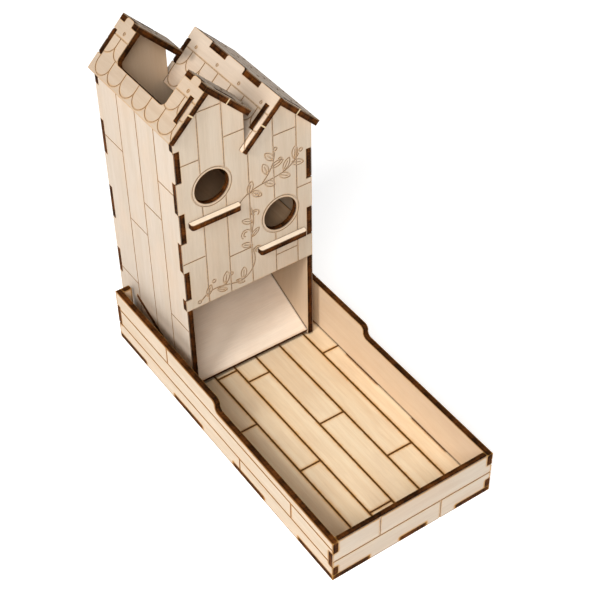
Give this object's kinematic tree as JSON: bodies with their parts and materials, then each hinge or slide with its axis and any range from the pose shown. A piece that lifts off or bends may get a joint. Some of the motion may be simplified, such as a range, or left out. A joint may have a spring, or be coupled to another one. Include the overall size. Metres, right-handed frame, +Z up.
{
  "type": "dice tower",
  "caption": "Plywood dice tower shaped like a double birdhouse, standing in a shallow rolling tray; dice fall over inner baffles and roll out of the mouth.",
  "frame": {"origin": "under the middle of the whole object, on the surface that the tray stands on", "axes": "+X to the right seen from the open front, +Y from the front of the tray to the back of the tower, +Z up"},
  "size_m": [0.088, 0.197, 0.1754],
  "materials": {
    "birch_tray": "bare laser-cut birch plywood with charred edges",
    "birch_walls": "bare laser-cut birch plywood with charred edges",
    "birch_roofs": "bare laser-cut birch plywood with charred edges",
    "birch_inside": "bare laser-cut birch plywood with charred edges"
  },
  "bodies": {
    "tray": {"tray_floor": "birch_tray", "tray_left_wall": "birch_tray", "tray_right_wall": "birch_tray", "tray_front_wall": "birch_tray", "tray_back_wall": "birch_tray"},
    "tower": {"tower_front_panel": "birch_walls", "tower_back_panel": "birch_walls", "tower_left_panel": "birch_walls", "tower_right_panel": "birch_walls", "left_roof_outer_slope": "birch_roofs", "left_roof_inner_front_strip": "birch_roofs", "left_roof_inner_back_strip": "birch_roofs", "right_roof_inner_slope": "birch_roofs", "right_roof_outer_slope": "birch_roofs", "left_perch": "birch_walls", "right_perch": "birch_walls", "exit_ramp": "birch_inside", "upper_baffle": "birch_inside", "lower_baffle": "birch_inside"}
  },
  "joints": [
    {"name": "tower_lift", "type": "slide", "parent": "tray", "child": "tower", "axis": [0, 0, 1], "range_m": [0, 0.05]}
  ]
}
